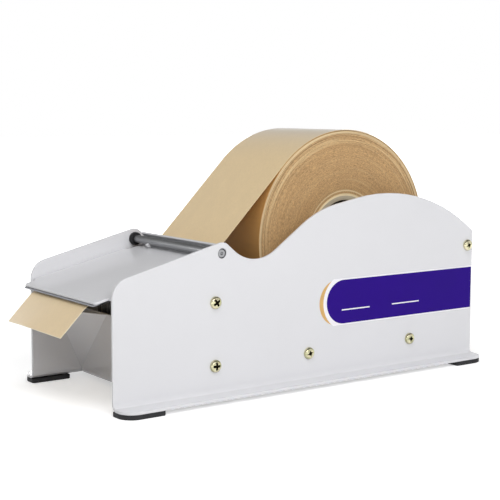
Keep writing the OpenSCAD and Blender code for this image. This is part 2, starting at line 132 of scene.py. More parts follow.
class DispenserColours(bpy.types.PropertyGroup):
    """Colours of the finishes."""

    enamel: colour("Enamel", "White powder coat", "#E1E1E4")
    rubber: colour("Rubber", "Feet and bushes", "#17171A")
    plastic: colour("Plastic", "Water tank and brush block", "#17171A")
    # lifted well above the black of the dyed nylon: painted light in the brush's shade
    bristle: colour("Bristle", "Nylon bristles", "#4C4C4E")
    nylon: colour("Nylon", "Bushes of the rollers", "#DAD6C8")
    steel: colour("Steel", "Shafts and rollers", "#C6C7C9")
    rod: colour("Rod", "Plain steel of the hinge rod", "#9B9C9E")
    blade: colour("Blade", "Hardened strip of the tear blade", "#85868A")
    zinc: colour("Yellow zinc", "Screws and nuts", "#E2DCBE")
    kraft: colour("Kraft", "Face of the paper tape", "#F0D4A2")
    kraft_edge: colour("Kraft edge", "Wound edges of the roll", "#BE996A")
    # darker and browner than the tape's face, which is the same paper: painted shade and bounced light of
    # the wedge under the tape
    shaded_last_turn: colour("Last turn", "Face of the roll's last turn", "#BA8A4E")
    board: colour("Core board", "Paper core of the roll", "#B9AE98")
    violet: colour("Violet film", "Field of the label", "#2B0A82")
    tan: colour("Tan film", "Crescent beside the label", "#D9B071")
    white: colour("White film", "Outline and rules of the label", "#F6F4FA")
    floor: colour("Floor", "Floor of the studio", "#F2F2F2")


# ---------------------------------------------------------------- materials


def add_node(material, kind, inputs=None, output=0, **settings):
    """Adds a node, sets its properties, fills or links its inputs, and returns one of its outputs.

    Inputs go by name or number. A Mix of colours has its share at 0, its colours at 6 and 7, and its result
    at 2.
    """
    tree = material.node_tree
    made = tree.nodes.new(f"ShaderNode{kind}")
    for name, value in settings.items():
        setattr(made, name, value)
    for name, value in (inputs or {}).items():
        if isinstance(value, bpy.types.NodeSocket):
            tree.links.new(value, made.inputs[name])
        else:
            made.inputs[name].default_value = value
    return made.outputs[output] if made.outputs else None


def new_material(name):
    """An empty node material, or the one of that name with its nodes removed."""
    material = bpy.data.materials.get(name) or bpy.data.materials.new(name)
    material.use_nodes = True
    material.node_tree.nodes.clear()
    return material


def finished(name, finish, *values):
    """A material of one shader, with the inputs that a finish works out for it."""
    material = new_material(name)
    shader = add_node(material, "BsdfPrincipled", finish(material, *values))
    add_node(material, "OutputMaterial", {"Surface": shader})
    return material


def scaled(rgba, factor):
    """The colour made lighter or darker by a factor."""
    return (*(min(1.0, c * factor) for c in rgba[:3]), 1.0)


def powder_coat(material, rgba):
    """Polyester powder coat, sprayed on folded steel and baked."""
    place = add_node(material, "TexCoord", output="Object")
    # the melted powder levels out to a half gloss, with an orange peel of waves about 1.8 mm long
    peel = add_node(material, "TexNoise", {"Vector": place, "Scale": 1 / (1.8 * MM), "Detail": 1.0})
    # the spray lies a little thicker in some places: clouds about 45 mm wide, barely seen
    cloud = add_node(material, "TexNoise", {"Vector": place, "Scale": 1 / (45 * MM), "Detail": 3.0})
    mixed = {0: cloud, 6: scaled(rgba, 0.97), 7: scaled(rgba, 1.01)}
    return {
        "Base Color": add_node(material, "Mix", mixed, 2, data_type="RGBA"),
        "Roughness": add_node(material, "MapRange", {"Value": cloud, "To Min": 0.19, "To Max": 0.25}),
        "Normal": add_node(material, "Bump", {"Height": peel, "Distance": 0.02 * MM}),
    }


def moulded_rubber(material, rgba):
    """Nitrile rubber, moulded in an eroded steel mould."""
    place = add_node(material, "TexCoord", output="Object")
    # the mould leaves a matt skin; its grain of 0.2 mm is drawn at 0.7 mm, the finest that shows
    grain = add_node(material, "TexNoise", {"Vector": place, "Scale": 1 / (0.7 * MM), "Detail": 3.0})
    # wax that comes out of the rubber greys it in patches about 9 mm wide
    bloom = add_node(material, "TexNoise", {"Vector": place, "Scale": 1 / (9 * MM), "Detail": 4.0})
    mixed = {0: bloom, 6: scaled(rgba, 0.8), 7: scaled(rgba, 1.7)}
    return {
        "Base Color": add_node(material, "Mix", mixed, 2, data_type="RGBA"),
        "Roughness": add_node(material, "MapRange", {"Value": bloom, "To Min": 0.62, "To Max": 0.8}),
        "Normal": add_node(material, "Bump", {"Height": grain, "Distance": 0.03 * MM}),
    }


def moulded_plastic(material, rgba, smoothest, roughest):
    """Polypropylene or nylon, injection moulded."""
    place = add_node(material, "TexCoord", output="Object")
    # the spark-eroded mould gives a satin grain of 0.15 mm, drawn at 0.5 mm, the finest that shows
    grain = add_node(material, "TexNoise", {"Vector": place, "Scale": 1 / (0.5 * MM), "Detail": 2.0})
    # the melt ran lengthwise, and left faint flow marks about 30 mm long and 12 mm wide
    run = {"Vector": place, "Scale": (1 / (30 * MM), 1 / (12 * MM), 1 / (12 * MM))}
    run = add_node(material, "Mapping", run)
    flow = add_node(material, "TexNoise", {"Vector": run, "Scale": 1.0, "Detail": 2.0})
    mixed = {0: flow, 6: scaled(rgba, 0.85), 7: scaled(rgba, 1.25)}
    gloss = {"Value": flow, "To Min": smoothest, "To Max": roughest}
    return {
        "Base Color": add_node(material, "Mix", mixed, 2, data_type="RGBA"),
        "Roughness": add_node(material, "MapRange", gloss),
        "Normal": add_node(material, "Bump", {"Height": grain, "Distance": 0.015 * MM}),
    }


def nylon_bristle(material, rgba):
    """Nylon monofilament, dyed black and drawn through a die."""
    place = add_node(material, "TexCoord", output="Object")
    # drawing makes each hair smooth along its length, so that it carries a thin line of gloss; the colour,
    # lifted above black as painted light, is streaked from hair to hair over about two hairs' width and 14
    # mm of their length, and its lighter streaks are painted highlights
    hair = {"Vector": place, "Scale": (1 / (0.8 * MM), 1 / (0.8 * MM), 1 / (14 * MM))}
    hair = add_node(material, "Mapping", hair)
    dye_and_highlight = add_node(material, "TexNoise", {"Vector": hair, "Scale": 1.0, "Detail": 1.0})
    mixed = {0: dye_and_highlight, 6: scaled(rgba, 0.5), 7: scaled(rgba, 2.2)}
    return {
        "Base Color": add_node(material, "Mix", mixed, 2, data_type="RGBA"),
        "Roughness": add_node(material, "MapRange", {"Value": dye_and_highlight, "To Min": 0.3, "To Max": 0.5}),
    }


def drawn_steel(material, rgba, lengths, smoothest, roughest):
    """Steel bar, tube or strip, cold drawn or ground.

    Its marks have the given lengths in mm along the three axes.
    """
    place = add_node(material, "TexCoord", output="Object")
    # the tool leaves fine lines that run its way and stretch the gloss across them; lines of 0.05 mm are
    # drawn 0.3 to 0.4 mm wide, the finest that shows
    tool = {"Vector": place, "Scale": tuple(1 / (part * MM) for part in lengths)}
    tool = add_node(material, "Mapping", tool)
    lines = add_node(material, "TexNoise", {"Vector": tool, "Scale": 1.0, "Detail": 3.0})
    # a film of oil and handling dulls the steel in clouds about 22 mm wide
    stain = add_node(material, "TexNoise", {"Vector": place, "Scale": 1 / (22 * MM), "Detail": 3.0})
    mixed = {0: stain, 6: scaled(rgba, 0.86), 7: scaled(rgba, 1.08)}
    gloss = {"Value": lines, "To Min": smoothest, "To Max": roughest}
    return {
        "Base Color": add_node(material, "Mix", mixed, 2, data_type="RGBA"),
        "Metallic": 1.0,
        "Roughness": add_node(material, "MapRange", gloss),
        "Normal": add_node(material, "Bump", {"Height": lines, "Distance": 0.012 * MM}),
    }


def yellow_zinc(material, rgba):
    """Zinc plate on steel screws, dipped in a yellow chromate.

    The first coordinate of the map "recess" is 1 in a screw's recess.
    """
    place = add_node(material, "TexCoord", output="Object")
    # the chromate film is thinner than a light wave is long, so its colour drifts over 2 to 3 mm, between
    # straw, olive and a trace of rose
    drift = add_node(material, "TexNoise", {"Vector": place, "Scale": 1 / (3.2 * MM), "Detail": 2.0})
    second = add_node(material, "TexNoise", {"Vector": place, "Scale": 1 / (2.1 * MM), "Detail": 2.0})
    turn = add_node(material, "MapRange", {"Value": drift, "From Min": 0.35, "From Max": 0.65})
    olive = add_node(material, "Mix", {0: turn, 6: rgba, 7: linear("#B4B48C")}, 2, data_type="RGBA")
    blush = {"Value": second, "From Min": 0.5, "From Max": 0.75, "To Max": 0.5}
    mixed = {0: add_node(material, "MapRange", blush), 6: olive, 7: linear("#D8BFA6")}
    film = add_node(material, "Mix", mixed, 2, data_type="RGBA")
    # the stamped recess is painted nearly black against the bright dome: painted shade
    recess = add_node(material, "UVMap", output="UV", uv_map="recess")
    recess = add_node(material, "SeparateXYZ", {"Vector": recess}, "X")
    mixed = {0: recess, 6: film, 7: linear("#1B1810")}
    return {
        "Base Color": add_node(material, "Mix", mixed, 2, data_type="RGBA"),
        "Metallic": 1.0,
        "Roughness": add_node(material, "MapRange", {"Value": second, "To Min": 0.12, "To Max": 0.24}),
        "Normal": add_node(material, "Bump", {"Height": drift, "Distance": 0.02 * MM}),
    }


def kraft_pulp(material, rgba, place):
    """The colour of unbleached kraft paper, and the pattern of the fibres on its face."""
    # fibres 2.4 mm long lie along the web; their 0.03 mm is drawn 0.5 mm wide, the finest that shows
    lie = add_node(material, "Mapping", {"Vector": place, "Scale": (1 / 2.4, 1 / 0.5, 1)})
    fibre = {"Vector": lie, "Scale": 1.0, "Detail": 3.0, "Distortion": 0.6}
    fibre = add_node(material, "TexNoise", fibre)
    # the pulp floats into clouds about 14 mm by 9 mm, lighter where it is thin
    lie = add_node(material, "Mapping", {"Vector": place, "Scale": (1 / 14, 1 / 9, 1)})
    cloud = add_node(material, "TexNoise", {"Vector": lie, "Scale": 1.0, "Detail": 3.0})
    mixed = {0: cloud, 6: scaled(rgba, 0.94), 7: scaled(rgba, 1.04)}
    base = add_node(material, "Mix", mixed, 2, data_type="RGBA")
    dark = {"Value": fibre, "From Min": 0.4, "From Max": 0.7, "To Max": 0.5}
    mixed = {0: add_node(material, "MapRange", dark), 6: base, 7: scaled(rgba, 0.86)}
    fibrous = add_node(material, "Mix", mixed, 2, data_type="RGBA")
    # bits of bark about 0.8 mm long stay in the pulp as brown flecks
    fleck = add_node(material, "TexNoise", {"Vector": place, "Scale": 1 / 0.8, "Detail": 1.0})
    few = {"Value": fleck, "From Min": 0.68, "From Max": 0.78, "To Max": 0.35}
    mixed = {0: add_node(material, "MapRange", few), 6: fibrous, 7: scaled(rgba, 0.6)}
    return add_node(material, "Mix", mixed, 2, data_type="RGBA"), fibre


def pale_rim_highlight(material, place, half_width):
    """1 on the free end's rim, which is painted pale as a highlight, and 0 inside and further along the
    tape.
    """
    across = add_node(material, "SeparateXYZ", {"Vector": place}, "Y")
    across = add_node(material, "Math", {0: across}, operation="ABSOLUTE")
    side = {"Value": across, "From Min": half_width - 0.5, "From Max": half_width - 0.1}
    side = add_node(material, "MapRange", side)
    run = add_node(material, "SeparateXYZ", {"Vector": place}, "X")
    end = add_node(material, "MapRange", {"Value": run, "From Min": 30, "From Max": 22})
    side = add_node(material, "Math", {0: side, 1: end}, operation="MULTIPLY")
    front = add_node(material, "MapRange", {"Value": run, "From Min": 0.5, "From Max": 0.1})
    return add_node(material, "Math", {0: side, 1: front}, operation="MAXIMUM")


def kraft_face(material, rgba, half_width):
    """Unbleached kraft paper, pressed on a hot drum and slit to width.

    The map "paper" holds millimetres along the tape and millimetres from its middle.
    """
    place = add_node(material, "UVMap", output="UV", uv_map="paper")
    pulp, fibre = kraft_pulp(material, rgba, place)
    # the free end's rim is painted pale: a painted highlight along its edges
    mixed = {0: pale_rim_highlight(material, place, half_width), 6: pulp, 7: linear("#F6E8C6")}
    # the drum glazes one side: a broad gloss, and loose fibre ends that whiten it at a low angle
    return {
        "Base Color": add_node(material, "Mix", mixed, 2, data_type="RGBA"),
        "Roughness": add_node(material, "MapRange", {"Value": fibre, "To Min": 0.5, "To Max": 0.64}),
        "Coat Weight": 1.0,
        "Coat Roughness": 0.22,
        "Sheen Weight": 1.0,
        "Sheen Roughness": 0.3,
        "Normal": add_node(material, "Bump", {"Height": fibre, "Distance": 0.015 * MM}),
    }


def cut_paper(material, rgba, place, middle):
    """The colour of the paper's cut edge, and the pattern of its fibres at the middle of the winding."""
    # cut fibres 1.5 mm long lie along the turns and give a fine speckle; they are drawn 0.4 mm wide
    lie = add_node(material, "Mapping", {"Vector": place, "Scale": (middle / 1.5, middle / 1.5, 1 / 0.4)})
    fibre = add_node(material, "TexNoise", {"Vector": lie, "Scale": 1.0, "Detail": 3.0, "Roughness": 0.6})
    # the pull of the winding changed, which tints the side in clouds about 22 mm by 9 mm
    lie = add_node(material, "Mapping", {"Vector": place, "Scale": (middle / 22, middle / 22, 1 / 9)})
    cloud = add_node(material, "TexNoise", {"Vector": lie, "Scale": 1.0, "Detail": 2.0})
    mixed = {0: cloud, 6: scaled(rgba, 0.88), 7: scaled(rgba, 1.12)}
    base = add_node(material, "Mix", mixed, 2, data_type="RGBA")
    dark = {"Value": fibre, "From Min": 0.5, "From Max": 0.66, "To Max": 0.9}
    mixed = {0: add_node(material, "MapRange", dark), 6: base, 7: scaled(rgba, 0.55)}
    fibrous = add_node(material, "Mix", mixed, 2, data_type="RGBA")
    pale = {"Value": fibre, "From Min": 0.46, "From Max": 0.34, "To Max": 0.7}
    mixed = {0: add_node(material, "MapRange", pale), 6: fibrous, 7: scaled(rgba, 1.4)}
    return add_node(material, "Mix", mixed, 2, data_type="RGBA"), fibre


def loose_turns_shade_and_highlight(material, rgba, paper, place, radius, middle, outer):
    """The cut paper with painted shade in the gaps and painted highlights on the lips between its turns,
    more of them further out.
    """
    # a turn is 0.13 mm thick, too fine to show, so a ring of 0.75 mm stands for a bundle of turns
    lie = add_node(material, "Mapping", {"Vector": place, "Scale": (middle / 60, middle / 60, 1 / 0.75)})
    ring = add_node(material, "TexNoise", {"Vector": lie, "Scale": 1.0, "Detail": 2.0, "Roughness": 0.6})
    loose = {"Value": radius, "From Min": outer - 12, "From Max": outer - 2, "To Min": 0.12, "To Max": 0.8}
    loose = add_node(material, "MapRange", loose)
    # the gaps between turns are painted dark: painted shade
    gap_shade = add_node(material, "MapRange", {"Value": ring, "From Min": 0.5, "From Max": 0.62})
    gap_shade = add_node(material, "Math", {0: gap_shade, 1: loose}, operation="MULTIPLY")
    mixed = {0: gap_shade, 6: paper, 7: scaled(rgba, 0.5)}
    gap_shaded = add_node(material, "Mix", mixed, 2, data_type="RGBA")
    # the lips of the turns are painted pale: painted highlight
    lip = add_node(material, "MapRange", {"Value": ring, "From Min": 0.46, "From Max": 0.36})
    lip = add_node(material, "Math", {0: lip, 1: loose}, operation="MULTIPLY")
    mixed = {0: lip, 6: gap_shaded, 7: linear("#EFD7A8")}
    return add_node(material, "Mix", mixed, 2, data_type="RGBA")


def near_radius(material, radius, place, far, near, share):
    """0 beyond a far distance from a ring at a place along the radius, and a share within a near one."""
    away = add_node(material, "Math", {0: radius, 1: place}, operation="SUBTRACT")
    away = add_node(material, "Math", {0: away}, operation="ABSOLUTE")
    near = {"Value": away, "From Min": far, "From Max": near, "To Max": share}
    return add_node(material, "MapRange", near)


def pale_turns_and_rim_highlight(material, radius, core, outer):
    """Share of cream on the turns that show pale, and on the outer rim, where the cream is a painted
    highlight.
    """
    # the first turns are glued to the core and show as a ring, and so does a slack turn further out
    first = {"Value": radius, "From Min": core + 0.9, "From Max": core + 0.5}
    first = add_node(material, "MapRange", first)
    slack = near_radius(material, radius, core + 2.7, 0.6, 0.3, 0.7)
    first = add_node(material, "Math", {0: first, 1: slack}, operation="MAXIMUM")
    # the last few turns are painted pale at the rim: a painted highlight
    rim_highlight = near_radius(material, radius, outer - 1.1, 1.2, 0.4, 0.55)
    return add_node(material, "Math", {0: first, 1: rim_highlight}, operation="MAXIMUM")


def kraft_edge(material, rgba, shaded_last_turn, core, outer):
    """Kraft paper slit with a knife and wound: the edges of its turns, and the face of the last turn in
    painted shade.

    The attribute "wound" holds the direction from the roll's axis and the distance from it in mm.
    """
    middle = (core + outer) / 2
    place = add_node(material, "Attribute", output="Vector", attribute_name="wound")
    radius = add_node(material, "SeparateXYZ", {"Vector": place}, "Z")
    paper, fibre = cut_paper(material, rgba, place, middle)
    paper = loose_turns_shade_and_highlight(material, rgba, paper, place, radius, middle, outer)
    mixed = {0: pale_turns_and_rim_highlight(material, radius, core, outer), 6: paper, 7: linear("#EBD6AC")}
    side = add_node(material, "Mix", mixed, 2, data_type="RGBA")
    # the last turn's face takes the darker, browner colour: painted shade
    mixed = {0: fibre, 6: scaled(shaded_last_turn, 0.88), 7: scaled(shaded_last_turn, 1.1)}
    face = add_node(material, "Mix", mixed, 2, data_type="RGBA")
    last = {"Value": radius, "From Min": outer - 0.2, "From Max": outer - 0.1}
    mixed = {0: add_node(material, "MapRange", last), 6: side, 7: face}
    # a knife cut leaves no glaze, so the side is matt
    return {
        "Base Color": add_node(material, "Mix", mixed, 2, data_type="RGBA"),
        "Roughness": add_node(material, "MapRange", {"Value": fibre, "To Min": 0.68, "To Max": 0.85}),
        "Normal": add_node(material, "Bump", {"Height": fibre, "Distance": 0.1 * MM}),
    }


def core_board(material, rgba, bore, outer):
    """Grey board of waste paper, glued and wound into a tube, with a cream liner outside.

    The attribute "wound" holds the direction from the roll's axis and the distance from it in mm.
    """
    place = add_node(material, "Attribute", output="Vector", attribute_name="wound")
    radius = add_node(material, "SeparateXYZ", {"Vector": place}, "Z")
    # the saw shows the plies of 0.5 mm as rings on the ends
    lie = add_node(material, "Mapping", {"Vector": place, "Scale": (outer / 80, outer / 80, 1 / 0.5)})
    ply = add_node(material, "TexNoise", {"Vector": lie, "Scale": 1.0, "Detail": 2.0, "Roughness": 0.6})
    mixed = {0: ply, 6: scaled(rgba, 0.75), 7: scaled(rgba, 1.2)}
    layered = add_node(material, "Mix", mixed, 2, data_type="RGBA")
    # scraps of print and clay in the waste paper speckle it, at about 0.9 mm
    own = add_node(material, "TexCoord", output="Object")
    scrap = add_node(material, "TexNoise", {"Vector": own, "Scale": 1 / (0.9 * MM), "Detail": 3.0})
    few = {"Value": scrap, "From Min": 0.5, "From Max": 0.7, "To Max": 0.4}
    mixed = {0: add_node(material, "MapRange", few), 6: layered, 7: scaled(rgba, 0.7)}
    specked = add_node(material, "Mix", mixed, 2, data_type="RGBA")
    liner = {"Value": radius, "From Min": outer - 0.9, "From Max": outer - 0.7}
    mixed = {0: add_node(material, "MapRange", liner), 6: specked, 7: linear("#EBD9B2")}
    lined = add_node(material, "Mix", mixed, 2, data_type="RGBA")
    # the bore is painted dark: painted shade inside the core
    inside = {"Value": radius, "From Min": bore + 0.3, "From Max": bore + 0.05}
    mixed = {0: add_node(material, "MapRange", inside), 6: lined, 7: linear("#4A4238")}
    return {
        "Base Color": add_node(material, "Mix", mixed, 2, data_type="RGBA"),
        "Roughness": add_node(material, "MapRange", {"Value": scrap, "To Min": 0.7, "To Max": 0.86}),
        "Normal": add_node(material, "Bump", {"Height": scrap, "Distance": 0.05 * MM}),
    }


def printed_film(material, rgba):
    """Vinyl film, screen printed and stuck on."""
    place = add_node(material, "TexCoord", output="Object")
    # the ink is laid thick through the screen: one dense, nearly matt colour that swells and thins over
    # 24 mm
    wave = add_node(material, "TexNoise", {"Vector": place, "Scale": 1 / (24 * MM), "Detail": 2.0})
    mixed = {0: wave, 6: scaled(rgba, 0.92), 7: scaled(rgba, 1.08)}
    return {
        "Base Color": add_node(material, "Mix", mixed, 2, data_type="RGBA"),
        "Roughness": add_node(material, "MapRange", {"Value": wave, "To Min": 0.5, "To Max": 0.6}),
        "Specular IOR Level": 0.1,
        "Normal": add_node(material, "Bump", {"Height": wave, "Distance": 0.05 * MM}),
    }


# ---------------------------------------------------------------- surfaces


def add_piece(name, mesh, material, body, nodes=()):
    """Puts a mesh into the scene with its finish, its body and the CAD nodes that it stands for."""
    piece = bpy.data.objects.new(name, mesh)
    bpy.context.scene.collection.objects.link(piece)
    mesh.materials.clear()
    mesh.materials.append(material)
    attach(piece, body)
    if nodes:
        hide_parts(*nodes)
    return piece


def shade(mesh):
    """Smooth shading with creases at the sharp edges."""
    mesh.shade_smooth()
    mesh.set_sharp_from_angle(angle=math.radians(CREASE))


def surface(name, points, **fields):
    """A closed mesh from grids of points.

    points has the shape (grids, rows, columns, 3) in metres. Each grid's cells become quads. Points that
    meet at seams, poles and folded ends are welded, and the faces are then turned outwards. A field of two
    numbers for each point becomes a UV map of its name, and one of three numbers becomes an attribute.
    """
    points = np.asarray(points, float)
    points = points.reshape(-1, *points.shape[-3:])
    grids, rows, columns, _ = points.shape
    row, column = np.meshgrid(np.arange(rows - 1), np.arange(columns - 1), indexing="ij")
    corner = row * columns + column
    quads = np.stack([corner, corner + 1, corner + columns + 1, corner + columns], -1).reshape(-1, 4)
    quads = (quads[None] + np.arange(grids)[:, None, None] * rows * columns).reshape(-1, 4)
    mesh = bpy.data.meshes.new(name)
    mesh.from_pydata(points.reshape(-1, 3).tolist(), [], quads.tolist())
    for field, values in fields.items():
        values = np.asarray(values, np.float32)
        at_corners = values.reshape(-1, values.shape[-1])[quads.ravel()].ravel()
        if values.shape[-1] == 2:
            mesh.uv_layers.new(name=field).data.foreach_set("uv", at_corners)
        else:
            mesh.attributes.new(field, "FLOAT_VECTOR", "CORNER").data.foreach_set("vector", at_corners)
    bm = bmesh.new()
    bm.from_mesh(mesh)
    bmesh.ops.remove_doubles(bm, verts=bm.verts, dist=WELD)
    bmesh.ops.dissolve_degenerate(bm, edges=bm.edges, dist=WELD)
    bmesh.ops.recalc_face_normals(bm, faces=bm.faces)
    bm.to_mesh(mesh)
    bm.free()
    shade(mesh)
    return mesh


def turned(profile, steps, centre=(0, 0)):
    """A profile of (radius, height along Y) turned about the line through centre along Y.

    A point is (cx + r cos a, h, cz + r sin a) for each profile point (r, h) and each of the angles a.
    """
    angle = np.linspace(0, 2 * np.pi, steps + 1)
    radius, height = np.asarray(profile, float).T
    x = centre[0] + radius[:, None] * np.cos(angle)
    z = centre[1] + radius[:, None] * np.sin(angle)
    return np.stack([x, np.broadcast_to(height[:, None], x.shape), z], -1)


def wound(points, centre):
    """For each point, the cosine and sine of its direction from the axis, and its distance in mm."""
    away = points[..., [0, 2]] - np.array(centre)
    distance = np.linalg.norm(away, axis=-1, keepdims=True)
    return np.concatenate([away / distance, distance / MM], -1)


def rounded(start, corner, end, radius, steps):
    """Points of a curve that rounds the corner between two straight stretches.

    Each point is the quadratic blend of the two tangent points and the corner.
    """
    start, corner, end = (np.asarray(p, float) for p in (start, corner, end))
    first = corner + radius * (start - corner) / np.linalg.norm(start - corner)
    last = corner + radius * (end - corner) / np.linalg.norm(end - corner)
    t = np.linspace(0, 1, steps)[:, None]
    return (1 - t) ** 2 * first + 2 * t * (1 - t) * corner + t**2 * last


def closed_sheet(front, back):
    """Rows that run over the front and back again; the first and last rows fold onto their middle line."""
    middle = (front + back) / 2
    loop = np.concatenate([front, back[:, ::-1], front[:, :1]], 1)
    fold = np.concatenate([middle, middle[:, ::-1], middle[:, :1]], 1)
    return np.concatenate([fold[:1], loop, fold[-1:]], 0)


def eased_copy(node, width, material, segments=2):
    """A copy of a CAD node with its sharp edges rounded, which stands for the node."""
    source = frame["nodes"][node]
    mesh = source.data.copy()
    mesh.name = f"{node}_eased"
    bm = bmesh.new()
    bm.from_mesh(mesh)
    bmesh.ops.remove_doubles(bm, verts=bm.verts, dist=WELD)
    bmesh.ops.dissolve_limit(bm, angle_limit=math.radians(0.4), verts=bm.verts, edges=bm.edges)
    bm.to_mesh(mesh)
    bm.free()
    shade(mesh)
    piece = add_piece(f"{node}_eased", mesh, material, source["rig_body"], [node])
    bevel = piece.modifiers.new("eased edges", "BEVEL")
    bevel.width = width
    bevel.segments = segments
    bevel.limit_method = "ANGLE"
    bevel.angle_limit = math.radians(CREASE)
    bevel.use_clamp_overlap = False
    weighted = piece.modifiers.new("flat faces stay flat", "WEIGHTED_NORMAL")
    weighted.keep_sharp = True
    return piece


# ---------------------------------------------------------------- the tape's path, in mm and degrees

TAIL_BEND_BACK = 6  # distance behind the teeth at which the tape starts to bend down
TAIL_BEND_R = 14  # radius of that bend
TAIL_SLOPE = 44  # slope of the free end
TAIL_L = 22  # straight length of the free end
COVER_SLOPE = 12.8  # slope of the cover
COVER_FLAT = -6.0  # level of the cover's lower side above the hinge rod's axis, across the cover
COVER_L = 89.62  # length from the hinge rod's axis to the lip, along the cover
BLADE_T = 1  # thickness of the tear blade
TOOTH_L = 1  # length of its teeth
BLADE_GAP = 0.45  # room between the blade and the tape
PART_GAP = 0.3  # room between the tape and the curl or the roll
WRAP_END = -35  # direction in which the outer turn ends on the roll
ROLL_R = 73  # radius of the roll
CORE_WALL = 3.9  # wall of its core
TAPE_W = 72  # width of the tape
TAPE_ROOM = 0.4  # height that the tape takes up, with its own thickness
ARC_STEP = 2  # turn between two points of a bend
STRAIGHT_STEPS = 24  # points of a straight stretch


def path_circles():
    """The circles that the tape's lower side touches, as (x, z, radius) in millimetres of the frame."""
    rod = np.array(AXES["cover_hinge"])[[0, 2]] / MM
    roll = np.array(AXES["roll_spin"])[[0, 2]] / MM
    slope = math.radians(COVER_SLOPE)
    turn = np.array([[math.cos(slope), -math.sin(slope)], [math.sin(slope), math.cos(slope)]])
    drop = BLADE_T + BLADE_GAP + TAPE_ROOM + TAIL_BEND_R
    bend = rod + turn @ np.array([TAIL_BEND_BACK - TOOTH_L - COVER_L, COVER_FLAT - drop])
    tail = math.radians(TAIL_SLOPE)
    start = bend + TAIL_BEND_R * np.array([-math.sin(tail), math.cos(tail)])
    start -= TAIL_L * np.array([math.cos(tail), math.sin(tail)])
    return [
        (*start, 0.0),
        (*bend, TAIL_BEND_R),
        (*rod, COVER_FLAT - PART_GAP - TAPE_ROOM),
        (*roll, ROLL_R + PART_GAP),
    ]


def touch(a, b):
    """Direction, in radians, of the normal of the line that touches two circles (x, z, radius)."""
    across = np.array(b[:2]) - np.array(a[:2])
    return math.atan2(across[1], across[0]) + math.acos((a[2] - b[2]) / np.linalg.norm(across))


def tape_path():
    """Points of the tape's lower side and their normals, in millimetres, from the free end to the roll.

    The path winds along the circles: an arc about each, joined by the straight lines that touch two of
    them, which are cut into short ones.
    """
    circles = path_circles()
    joints = [math.radians(90 + TAIL_SLOPE)]
    joints += [touch(a, b) for a, b in zip(circles, circles[1:])]
    joints += [math.radians(WRAP_END)]
    points, normals = [], []
    for (x, z, radius), first, last in zip(circles, joints, joints[1:]):
        steps = max(2, math.ceil(abs(math.degrees(last - first)) / ARC_STEP) + 1)
        angle = np.linspace(first, last, steps)
        normal = np.stack([np.cos(angle), np.sin(angle)], -1)
        arc = np.array([x, z]) + radius * normal
        if points:
            share = np.linspace(0, 1, STRAIGHT_STEPS)[1:-1, None]
            points.append(points[-1][-1] + share * (arc[0] - points[-1][-1]))
            normals.append(np.repeat(normal[:1], len(share), 0))
        points.append(arc)
        normals.append(normal)
    points, normals = np.concatenate(points), np.concatenate(normals)
    moved = np.concatenate([[True], np.linalg.norm(np.diff(points, axis=0), axis=1) > WELD])
    return points[moved], normals[moved]


# ---------------------------------------------------------------- operators


class DISPENSER_OT_sheet_metal(bpy.types.Operator):
    """Rounds and enamels the side plates, cradle, gussets and cover"""

    bl_idname = "dispenser.sheet_metal"
    bl_label = "Sheet metal"

    def execute(self, context):
        sizes, colours = context.scene.dispenser_sizes, context.scene.dispenser_colours
        coat = finished("white_powder_coat", powder_coat, colours.enamel[:])
        plates = ("right_side_plate", "left_side_plate", "tank_cradle", "cover_plate")
        for node in (*plates, "right_corner_gusset", "left_corner_gusset"):
            eased_copy(node, sizes.sheet_edge, coat)
        eased_copy("rod_tabs", sizes.steel_edge, coat)
        return {"FINISHED"}


class DISPENSER_OT_mouldings(bpy.types.Operator):
    """Rounds and colours the rubber and plastic pieces"""

    bl_idname = "dispenser.mouldings"
    bl_label = "Rubber and plastic"

    def execute(self, context):
        sizes, colours = context.scene.dispenser_sizes, context.scene.dispenser_colours
        black = finished("moulded_nitrile_rubber", moulded_rubber, colours.rubber[:])
        for end in ("front", "rear"):
            for side in ("right", "left"):
                eased_copy(f"{end}_{side}_foot", sizes.moulded_edge, black, segments=3)
        eased_copy("rod_bushes", sizes.steel_edge, black)
        moulded = finished("moulded_polypropylene", moulded_plastic, colours.plastic[:], 0.37, 0.5)
        eased_copy("water_tank", sizes.moulded_edge, moulded, segments=3)
        eased_copy("brush_block", sizes.moulded_edge, moulded, segments=3)
        natural = finished("moulded_nylon", moulded_plastic, colours.nylon[:], 0.33, 0.46)
        eased_copy("front_roller_bushes", sizes.steel_edge, natural)
        eased_copy("rear_roller_bushes", sizes.steel_edge, natural)
        return {"FINISHED"}


class DISPENSER_OT_steel(bpy.types.Operator):
    """Rounds and finishes the rod, shafts, rollers, blade and nuts"""

    bl_idname = "dispenser.steel"
    bl_label = "Steel"

    def execute(self, context):
        sizes, colours = context.scene.dispenser_sizes, context.scene.dispenser_colours
        rod, bar, blade = colours.rod[:], colours.steel[:], colours.blade[:]
        # the length of the marks along each axis in mm, and the roughness at its least and its most
        plain = finished("drawn_steel_rod", drawn_steel, rod, (0.35, 30, 0.35), 0.3, 0.4)
        drawn = finished("zinc_plated_steel_bar", drawn_steel, bar, (0.35, 30, 0.35), 0.16, 0.26)
        ground = finished("ground_steel_tube", drawn_steel, bar, (12, 0.4, 12), 0.16, 0.26)
        strip = finished("hardened_strip_steel", drawn_steel, blade, (0.3, 18, 0.3), 0.16, 0.26)
        zinc = finished("yellow_zinc_plate", yellow_zinc, colours.zinc[:])
        eased_copy("hinge_rod", sizes.steel_edge, plain)
        for node in ("front_roller_shaft", "rear_roller_shaft", "tie_bar"):
            eased_copy(node, sizes.steel_edge, drawn)
        for node in ("front_roller", "rear_roller"):
            eased_copy(node, sizes.steel_edge, ground)
        eased_copy("tear_blade", sizes.blade_edge, strip, segments=1)
        eased_copy("cradle_nuts", sizes.steel_edge, zinc)
        return {"FINISHED"}


